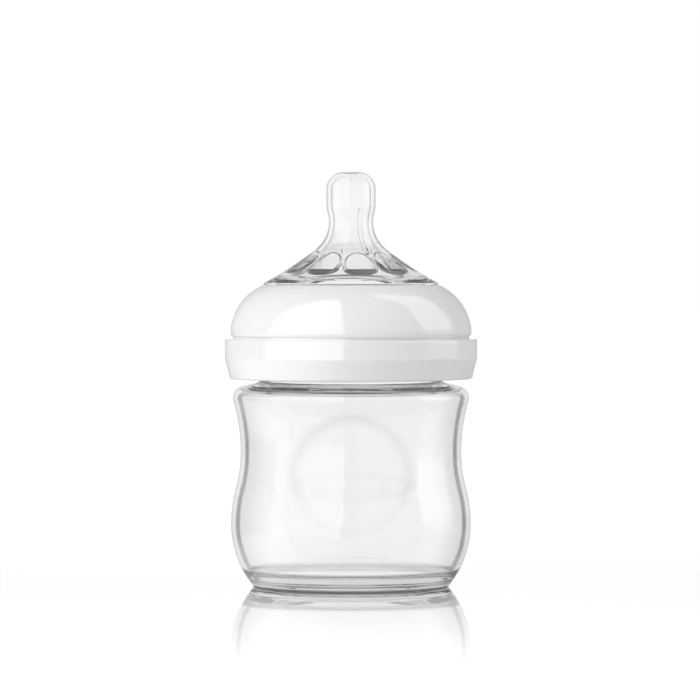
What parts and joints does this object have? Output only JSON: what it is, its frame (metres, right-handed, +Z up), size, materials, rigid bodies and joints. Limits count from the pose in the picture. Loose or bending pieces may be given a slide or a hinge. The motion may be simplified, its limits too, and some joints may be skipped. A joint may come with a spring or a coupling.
{
  "type": "baby bottle",
  "caption": "Wide-neck feeding bottle: waisted clear body, clear silicone teat with petal pockets, and a white domed screw ring that unscrews and lifts off with the teat.",
  "frame": {"origin": "middle of the foot, on the plane that the bottle stands on", "axes": "+Z up along the bottle's axis, -Y towards the front, where the grip dimple is"},
  "size_m": [0.0684, 0.0684, 0.1122],
  "materials": {
    "clear_bottle": "clear polypropylene, glossy",
    "clear_silicone": "clear silicone, smooth",
    "white_ring": "glossy white polypropylene"
  },
  "bodies": {
    "bottle": {"bottle_body": "clear_bottle"},
    "teat": {"teat": "clear_silicone"},
    "ring": {"screw_ring": "white_ring"}
  },
  "joints": [
    {"name": "teat_lift", "type": "slide", "parent": "bottle", "child": "teat", "axis": [0, 0, 1], "range_m": [0, 0.02701]},
    {"name": "ring_turn", "type": "hinge", "parent": "teat", "child": "ring", "pos_m": [0, 0, 0.08], "axis": [0, 0, 1], "range_deg": [0, 1080]}
  ],
  "couplings": [
    {"joint": "teat_lift", "follows": "ring_turn", "m_per_rad": 0.0014324}
  ]
}
